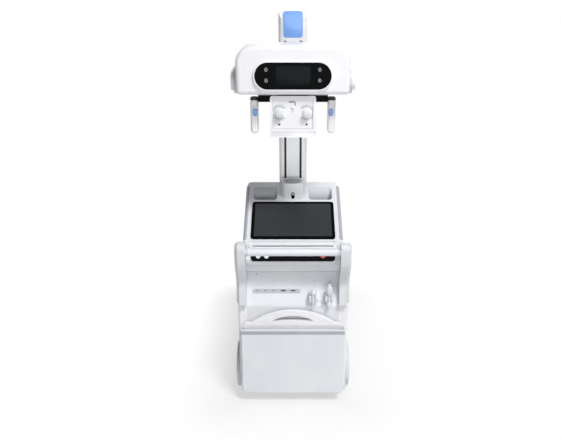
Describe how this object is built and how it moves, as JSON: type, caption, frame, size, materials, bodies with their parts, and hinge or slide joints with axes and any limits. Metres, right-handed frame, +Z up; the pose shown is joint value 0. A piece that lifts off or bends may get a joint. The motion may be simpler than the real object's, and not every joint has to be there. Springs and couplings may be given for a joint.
{
  "type": "mobile x-ray machine",
  "caption": "Motor-driven mobile x-ray machine with console, push handle, detector bin, turning column and tilting tube head with collimator.",
  "frame": {"origin": "centre of the overall footprint, on the floor", "axes": "+X to the operator's right, +Y towards the nose, +Z up"},
  "size_m": [0.632, 1.24, 1.995],
  "materials": {
    "chassis_paint": "satin",
    "dark_plastic": "matt",
    "steel": "satin",
    "tyre": "matt",
    "wheel_plastic": "matt",
    "grey_plastic": "satin",
    "white_plastic": "satin",
    "rubber": "matt",
    "black_gloss": "gloss",
    "screen": "gloss",
    "pad_rubber": "matt",
    "knob_plastic": "gloss",
    "red_plastic": "gloss",
    "handle_paint": "satin",
    "bin_plastic": "satin",
    "detector_plastic": "satin",
    "column_paint": "satin",
    "blue_plastic": "gloss",
    "aluminium": "satin",
    "arm_paint": "satin",
    "black_paint": "satin"
  },
  "bodies": {
    "chassis": {"chassis_frame": "chassis_paint", "battery_block": "dark_plastic", "drive_axle": "steel", "cabinet_shell": "chassis_paint", "side_cover_left": "white_plastic", "side_cover_right": "white_plastic", "rear_panel": "white_plastic", "front_cover": "white_plastic", "bumper": "rubber", "pedestal": "steel", "console_deck": "grey_plastic", "monitor_frame": "black_gloss", "monitor_glass": "screen", "parking_post": "grey_plastic", "post_pad": "pad_rubber", "key_switch": "black_gloss", "control_strip": "black_gloss", "control_knobs": "knob_plastic", "stop_button": "red_plastic", "handle_arm_left": "white_plastic", "handle_arm_right": "white_plastic", "handle_bar": "handle_paint", "port_strip": "grey_plastic", "switch_bracket": "white_plastic", "hand_piece": "white_plastic", "hand_switch": "white_plastic", "detector_bin": "bin_plastic", "detector_panel": "detector_plastic"},
    "drive_wheel_left": {"drive_tyre_left": "tyre", "drive_wheel_left": "wheel_plastic", "hub_cover_left": "grey_plastic"},
    "drive_wheel_right": {"drive_tyre_right": "tyre", "drive_wheel_right": "wheel_plastic", "hub_cover_right": "grey_plastic"},
    "castor_swivel_left": {"castor_fork_left": "steel"},
    "castor_swivel_right": {"castor_fork_right": "steel"},
    "castor_roller_left": {"castor_wheel_left": "wheel_plastic", "castor_tyre_left": "tyre"},
    "castor_roller_right": {"castor_wheel_right": "wheel_plastic", "castor_tyre_right": "tyre"},
    "column": {"turntable": "grey_plastic", "column_mast": "column_paint", "column_cap": "column_paint", "column_inlay": "blue_plastic"},
    "lift_carriage": {"carriage": "white_plastic"},
    "arm_middle": {"arm_middle": "aluminium"},
    "arm_inner": {"arm_inner": "white_plastic"},
    "yoke": {"yoke": "arm_paint"},
    "tube_head": {"head_housing": "white_plastic", "trunnions": "grey_plastic", "display_pod": "white_plastic", "display_glass": "screen"},
    "collimator": {"collimator_box": "white_plastic", "collimator_fascia": "white_plastic", "dial_knobs": "knob_plastic", "grip_bracket": "black_paint", "grip_left": "white_plastic", "grip_right": "white_plastic"}
  },
  "joints": [
    {"name": "drive_wheel_left_spin", "type": "hinge", "parent": "chassis", "child": "drive_wheel_left", "pos_m": [-0.278, -0.406, 0.125], "axis": [1, 0, 0], "continuous": true},
    {"name": "drive_wheel_right_spin", "type": "hinge", "parent": "chassis", "child": "drive_wheel_right", "pos_m": [0.278, -0.406, 0.125], "axis": [1, 0, 0], "continuous": true},
    {"name": "castor_left_swivel", "type": "hinge", "parent": "chassis", "child": "castor_swivel_left", "pos_m": [-0.145, 0.469, 0.19], "axis": [0, 0, 1], "continuous": true},
    {"name": "castor_right_swivel", "type": "hinge", "parent": "chassis", "child": "castor_swivel_right", "pos_m": [0.145, 0.469, 0.19], "axis": [0, 0, 1], "continuous": true},
    {"name": "castor_left_roll", "type": "hinge", "parent": "castor_swivel_left", "child": "castor_roller_left", "pos_m": [-0.145, 0.431, 0.075], "axis": [1, 0, 0], "continuous": true},
    {"name": "castor_right_roll", "type": "hinge", "parent": "castor_swivel_right", "child": "castor_roller_right", "pos_m": [0.145, 0.431, 0.075], "axis": [1, 0, 0], "continuous": true},
    {"name": "column_turn", "type": "hinge", "parent": "chassis", "child": "column", "pos_m": [0, 0.109, 0.508], "axis": [0, 0, 1], "range_deg": [-180, 180]},
    {"name": "carriage_lift", "type": "slide", "parent": "column", "child": "lift_carriage", "axis": [0, 0, 1], "range_m": [-0.3, 0.1]},
    {"name": "arm_extend", "type": "slide", "parent": "lift_carriage", "child": "arm_middle", "axis": [0, -1, 0], "range_m": [0, 0.1]},
    {"name": "arm_extend_inner", "type": "slide", "parent": "arm_middle", "child": "arm_inner", "axis": [0, -1, 0], "range_m": [0, 0.1]},
    {"name": "head_roll", "type": "hinge", "parent": "arm_inner", "child": "yoke", "pos_m": [0, -0.176, 1.692], "axis": [0, 1, 0], "range_deg": [-180, 180]},
    {"name": "head_tilt", "type": "hinge", "parent": "yoke", "child": "tube_head", "pos_m": [0, -0.426, 1.692], "axis": [1, 0, 0], "range_deg": [-90, 15]},
    {"name": "collimator_turn", "type": "hinge", "parent": "tube_head", "child": "collimator", "pos_m": [0, -0.426, 1.6], "axis": [0, 0, 1], "range_deg": [-90, 90]}
  ],
  "couplings": [
    {"joint": "arm_extend_inner", "follows": "arm_extend", "ratio": 1}
  ]
}
